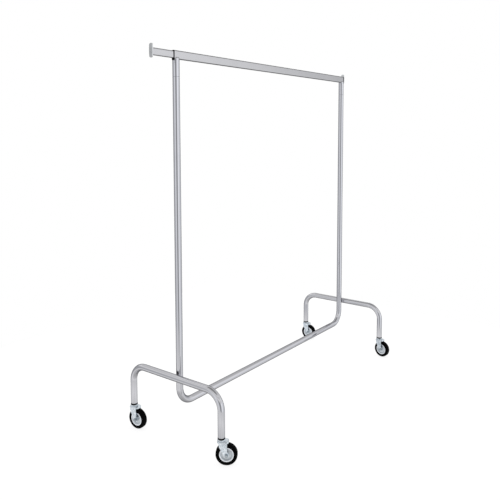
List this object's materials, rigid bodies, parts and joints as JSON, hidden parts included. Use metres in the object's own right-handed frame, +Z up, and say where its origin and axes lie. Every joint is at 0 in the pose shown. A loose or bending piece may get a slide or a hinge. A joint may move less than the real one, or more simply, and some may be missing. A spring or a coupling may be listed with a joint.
{
  "type": "rolling clothes rack",
  "caption": "Free-standing chromed tube clothes rack with a flat hang rail, pull-out rail extensions, inverted-U feet and swivel casters.",
  "frame": {"origin": "on the floor, midway between the four caster stems and under the middle of the hang rail", "axes": "+X along the hang rail to the right, +Y to the back, +Z up"},
  "size_m": [1.6339, 0.6135, 1.7075],
  "materials": {
    "chrome": "polished chrome plate on steel tube",
    "cap_metal": "satin chrome plate",
    "black_plastic": "black moulded plastic",
    "zinc_plate": "bright zinc plate on pressed steel",
    "hub_alloy": "satin die-cast alloy",
    "bearing_steel": "polished steel",
    "tyre_rubber": "black solid rubber"
  },
  "bodies": {
    "frame": {"bottom_rail": "chrome", "foot_welds": "chrome", "hang_rail": "chrome", "left_back_caster_ball_race": "zinc_plate", "left_back_caster_balls": "bearing_steel", "left_back_caster_socket": "black_plastic", "left_back_caster_stem": "zinc_plate", "left_foot": "chrome", "left_front_caster_ball_race": "zinc_plate", "left_front_caster_balls": "bearing_steel", "left_front_caster_socket": "black_plastic", "left_front_caster_stem": "zinc_plate", "left_post": "chrome", "left_rail_bushing": "black_plastic", "left_upright": "chrome", "right_back_caster_ball_race": "zinc_plate", "right_back_caster_balls": "bearing_steel", "right_back_caster_socket": "black_plastic", "right_back_caster_stem": "zinc_plate", "right_foot": "chrome", "right_front_caster_ball_race": "zinc_plate", "right_front_caster_balls": "bearing_steel", "right_front_caster_socket": "black_plastic", "right_front_caster_stem": "zinc_plate", "right_post": "chrome", "right_rail_bushing": "black_plastic", "right_upright": "chrome"},
    "left_extension": {"left_end_cap": "cap_metal", "left_extension_glide": "black_plastic", "left_extension_rail": "chrome"},
    "right_extension": {"right_end_cap": "cap_metal", "right_extension_glide": "black_plastic", "right_extension_rail": "chrome"},
    "left_front_swivel": {"left_front_caster_axle_bolt": "zinc_plate", "left_front_caster_axle_nut": "zinc_plate", "left_front_caster_axle_sleeve": "zinc_plate", "left_front_caster_fork": "zinc_plate"},
    "left_front_wheel": {"left_front_caster_hub": "hub_alloy", "left_front_caster_tyre": "tyre_rubber"},
    "left_back_swivel": {"left_back_caster_axle_bolt": "zinc_plate", "left_back_caster_axle_nut": "zinc_plate", "left_back_caster_axle_sleeve": "zinc_plate", "left_back_caster_fork": "zinc_plate"},
    "left_back_wheel": {"left_back_caster_hub": "hub_alloy", "left_back_caster_tyre": "tyre_rubber"},
    "right_front_swivel": {"right_front_caster_axle_bolt": "zinc_plate", "right_front_caster_axle_nut": "zinc_plate", "right_front_caster_axle_sleeve": "zinc_plate", "right_front_caster_fork": "zinc_plate"},
    "right_front_wheel": {"right_front_caster_hub": "hub_alloy", "right_front_caster_tyre": "tyre_rubber"},
    "right_back_swivel": {"right_back_caster_axle_bolt": "zinc_plate", "right_back_caster_axle_nut": "zinc_plate", "right_back_caster_axle_sleeve": "zinc_plate", "right_back_caster_fork": "zinc_plate"},
    "right_back_wheel": {"right_back_caster_hub": "hub_alloy", "right_back_caster_tyre": "tyre_rubber"}
  },
  "joints": [
    {"name": "left_extension_slide", "type": "slide", "parent": "frame", "child": "left_extension", "axis": [-1, 0, 0], "range_m": [-0.121, 0.184]},
    {"name": "right_extension_slide", "type": "slide", "parent": "frame", "child": "right_extension", "axis": [1, 0, 0], "range_m": [0, 0.305]},
    {"name": "left_front_caster_swivel", "type": "hinge", "parent": "frame", "child": "left_front_swivel", "pos_m": [-0.7481, -0.261, 0.0985], "axis": [0, 0, 1], "continuous": true},
    {"name": "left_front_wheel_spin", "type": "hinge", "parent": "left_front_swivel", "child": "left_front_wheel", "pos_m": [-0.73605, -0.2782, 0.0452], "axis": [-0.8192, -0.5736, 0], "continuous": true},
    {"name": "left_back_caster_swivel", "type": "hinge", "parent": "frame", "child": "left_back_swivel", "pos_m": [-0.7481, 0.261, 0.0985], "axis": [0, 0, 1], "continuous": true},
    {"name": "left_back_wheel_spin", "type": "hinge", "parent": "left_back_swivel", "child": "left_back_wheel", "pos_m": [-0.7459, 0.24011, 0.0452], "axis": [-0.9945, -0.1045, 0], "continuous": true},
    {"name": "right_front_caster_swivel", "type": "hinge", "parent": "frame", "child": "right_front_swivel", "pos_m": [0.7481, -0.261, 0.0985], "axis": [0, 0, 1], "continuous": true},
    {"name": "right_front_wheel_spin", "type": "hinge", "parent": "right_front_swivel", "child": "right_front_wheel", "pos_m": [0.74518, -0.2818, 0.0452], "axis": [-0.9903, 0.1392, 0], "continuous": true},
    {"name": "right_back_caster_swivel", "type": "hinge", "parent": "frame", "child": "right_back_swivel", "pos_m": [0.7481, 0.261, 0.0985], "axis": [0, 0, 1], "continuous": true},
    {"name": "right_back_wheel_spin", "type": "hinge", "parent": "right_back_swivel", "child": "right_back_wheel", "pos_m": [0.7503, 0.24011, 0.0452], "axis": [-0.9945, -0.1045, 0], "continuous": true}
  ]
}
